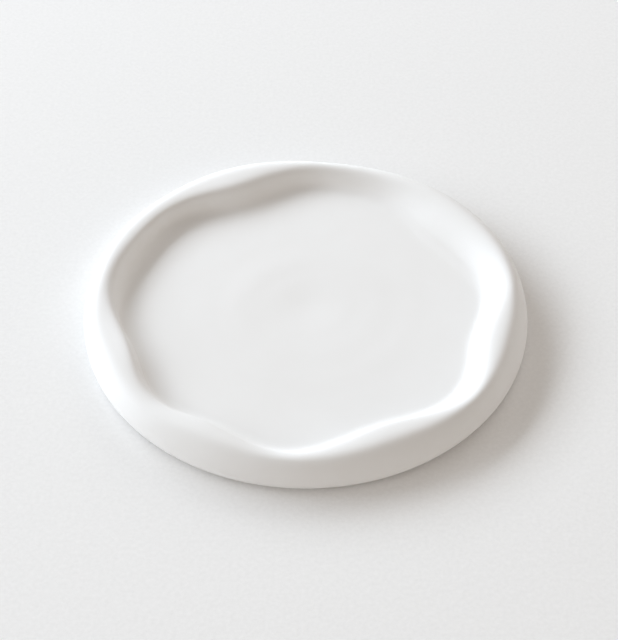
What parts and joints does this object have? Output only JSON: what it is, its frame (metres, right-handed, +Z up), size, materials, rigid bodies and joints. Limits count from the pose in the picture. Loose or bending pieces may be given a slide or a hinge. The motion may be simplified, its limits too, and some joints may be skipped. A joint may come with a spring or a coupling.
{
  "type": "candle plate",
  "caption": "Low round matte white ceramic candle plate with a thick hand-pinched rim wandering in and out around a flat floor, standing on small felt pads under its recessed base.",
  "frame": {"origin": "on the table, under the middle of the plate's footprint", "axes": "+Z up out of the plate, +X to the right and +Y to the back of the plate as pictured"},
  "size_m": [0.1419, 0.1415, 0.0106],
  "materials": {
    "white_ceramic": "matte white, slightly uneven by hand",
    "felt": "pressed grey wool felt",
    "adhesive_film": "thin double-sided film"
  },
  "bodies": {
    "root": {"plate_body": "white_ceramic", "foot_pad_1": "felt", "foot_pad_2": "felt", "foot_pad_3": "felt", "foot_pad_4": "felt", "pad_adhesive_1": "adhesive_film", "pad_adhesive_2": "adhesive_film", "pad_adhesive_3": "adhesive_film", "pad_adhesive_4": "adhesive_film"}
  },
  "joints": []
}
